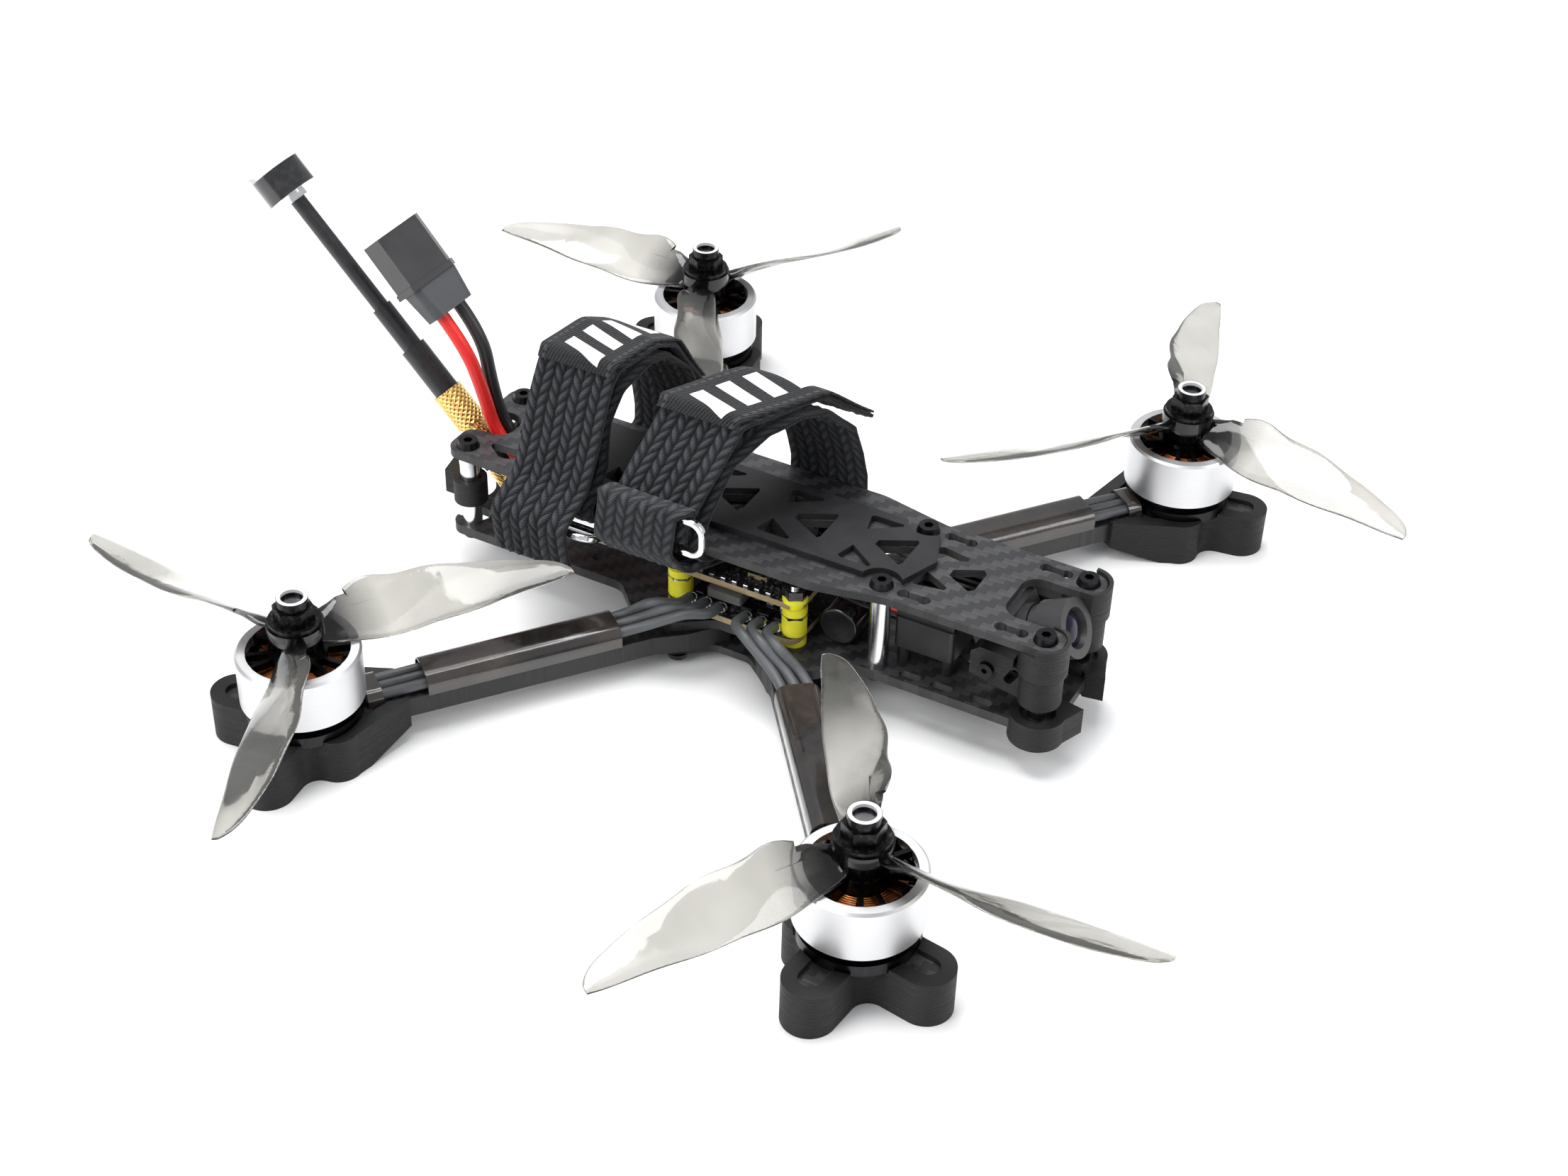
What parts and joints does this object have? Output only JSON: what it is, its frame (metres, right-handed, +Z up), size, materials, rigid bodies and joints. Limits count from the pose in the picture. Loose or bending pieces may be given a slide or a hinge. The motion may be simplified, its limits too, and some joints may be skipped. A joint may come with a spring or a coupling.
{
  "type": "racing quadcopter",
  "caption": "Small racing quadcopter: carbon frame, motors with three-bladed propellers, tilting camera, electronics stack, antenna, power lead and battery straps.",
  "frame": {"origin": "on the ground under the feet, on the plane of symmetry at the middle of the overall length", "axes": "+Z up, -Y towards the nose, +X towards the craft's left"},
  "size_m": [0.3043, 0.2796, 0.0935],
  "materials": {
    "carbon": "woven carbon fibre, satin",
    "tpu": "printed rubber, matt",
    "alu": "satin",
    "steel": "polished",
    "black_steel": "black oxide",
    "magnet": "plated",
    "lamination": "coated",
    "copper": "enamelled wire",
    "prop": "smoke grey, translucent",
    "nut": "bright plated",
    "board": "solder mask",
    "grommet": "soft",
    "shell_black": "satin",
    "lens": "coated glass",
    "gold": "gold plated",
    "shrink": "shrink tube",
    "plug": "black nylon",
    "plug_grey": "dark grey nylon",
    "silicone_red": "silicone",
    "silicone_black": "silicone",
    "webbing": "woven strap"
  },
  "bodies": {
    "frame": {"antenna": "shrink", "antenna_head": "shell_black", "antenna_holder": "tpu", "arm_fl": "carbon", "arm_fr": "carbon", "arm_rl": "carbon", "arm_rr": "carbon", "arm_sleeves": "shrink", "battery_pad": "tpu", "bearings": "steel", "brace_plate": "carbon", "camera_mounts": "tpu", "capacitor": "shell_black", "coils": "copper", "esc_board": "board", "flight_controller": "board", "foot_fl": "tpu", "foot_fr": "tpu", "foot_rl": "tpu", "foot_rr": "tpu", "frame_screws": "black_steel", "grommets": "grommet", "lead_black": "silicone_black", "lead_red": "silicone_red", "main_plate": "carbon", "motor_bases": "black_steel", "motor_leads": "silicone_black", "motor_screws": "black_steel", "nose_bumpers": "tpu", "plug_cap": "plug_grey", "plug_pins": "gold", "power_plug": "plug", "sma_socket": "gold", "stack_screws": "black_steel", "standoffs": "alu", "stator_cores": "lamination", "strap_buckles": "steel", "strap_front": "webbing", "strap_rear": "webbing", "top_plate": "carbon", "video_transmitter": "shell_black"},
    "rotor_fr": {"bell_fr": "alu", "magnets_fr": "magnet", "prop_fr": "prop", "prop_nut_fr": "nut"},
    "rotor_fl": {"bell_fl": "alu", "magnets_fl": "magnet", "prop_fl": "prop", "prop_nut_fl": "nut"},
    "rotor_rr": {"bell_rr": "alu", "magnets_rr": "magnet", "prop_rr": "prop", "prop_nut_rr": "nut"},
    "rotor_rl": {"bell_rl": "alu", "magnets_rl": "magnet", "prop_rl": "prop", "prop_nut_rl": "nut"},
    "camera": {"camera_body": "shell_black", "camera_lens": "lens", "camera_screws": "black_steel"}
  },
  "joints": [
    {"name": "rotor_fr_spin", "type": "hinge", "parent": "frame", "child": "rotor_fr", "pos_m": [-0.0905, -0.07375, 0.0284], "axis": [0, 0, 1], "continuous": true},
    {"name": "rotor_fl_spin", "type": "hinge", "parent": "frame", "child": "rotor_fl", "pos_m": [0.0905, -0.07375, 0.0284], "axis": [0, 0, 1], "continuous": true},
    {"name": "rotor_rr_spin", "type": "hinge", "parent": "frame", "child": "rotor_rr", "pos_m": [-0.0905, 0.06575, 0.0284], "axis": [0, 0, 1], "continuous": true},
    {"name": "rotor_rl_spin", "type": "hinge", "parent": "frame", "child": "rotor_rl", "pos_m": [0.0905, 0.06575, 0.0284], "axis": [0, 0, 1], "continuous": true},
    {"name": "camera_tilt", "type": "hinge", "parent": "frame", "child": "camera", "pos_m": [0, -0.067, 0.0238], "axis": [1, 0, 0], "range_deg": [-12, 25]}
  ]
}
